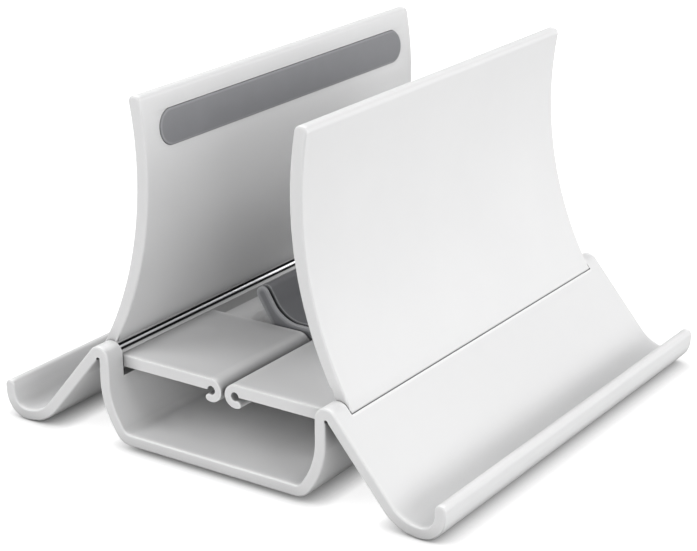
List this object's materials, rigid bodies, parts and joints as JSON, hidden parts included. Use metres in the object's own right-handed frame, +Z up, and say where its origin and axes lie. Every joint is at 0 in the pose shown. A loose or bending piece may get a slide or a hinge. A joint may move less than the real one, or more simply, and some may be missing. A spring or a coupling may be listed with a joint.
{
  "type": "vertical laptop stand",
  "caption": "Vertical laptop stand with a folded base, side trays and hinged curved clamp arms that close on a laptop under its own weight, with soft grip pads.",
  "frame": {"origin": "middle of the stand's footprint, on the table under the feet", "axes": "+X across the stand to the right tray, +Y from the front to the back along the trough, +Z up"},
  "size_m": [0.143, 0.1386, 0.0967],
  "materials": {
    "white_shell": "white satin moulded plastic with a very fine moulding texture",
    "pin_steel": "bright ground steel rod",
    "spring_steel": "drawn spring wire",
    "grey_silicone": "matt grey silicone",
    "foot_rubber": "matt grey silicone"
  },
  "bodies": {
    "base": {"base": "white_shell", "left_pin": "pin_steel", "right_pin": "pin_steel", "left_spring": "spring_steel", "right_spring": "spring_steel", "front_left_foot": "foot_rubber", "front_right_foot": "foot_rubber", "back_left_foot": "foot_rubber", "back_right_foot": "foot_rubber"},
    "left_arm": {"left_arm": "white_shell", "left_arm_pad": "grey_silicone", "left_cradle": "grey_silicone"},
    "right_arm": {"right_arm": "white_shell", "right_arm_pad": "grey_silicone", "right_cradle": "grey_silicone"}
  },
  "joints": [
    {"name": "left_hinge", "type": "hinge", "parent": "base", "child": "left_arm", "pos_m": [-0.0355, 0, 0.02592], "axis": [0, 1, 0], "range_deg": [0, 20], "stiffness_Nm_per_rad": 0.022, "springref_deg": -36.67, "deforming": ["left_spring"]},
    {"name": "right_hinge", "type": "hinge", "parent": "base", "child": "right_arm", "pos_m": [0.0355, 0, 0.02592], "axis": [0, -1, 0], "range_deg": [0, 20], "stiffness_Nm_per_rad": 0.022, "springref_deg": -36.67, "deforming": ["right_spring"]}
  ]
}
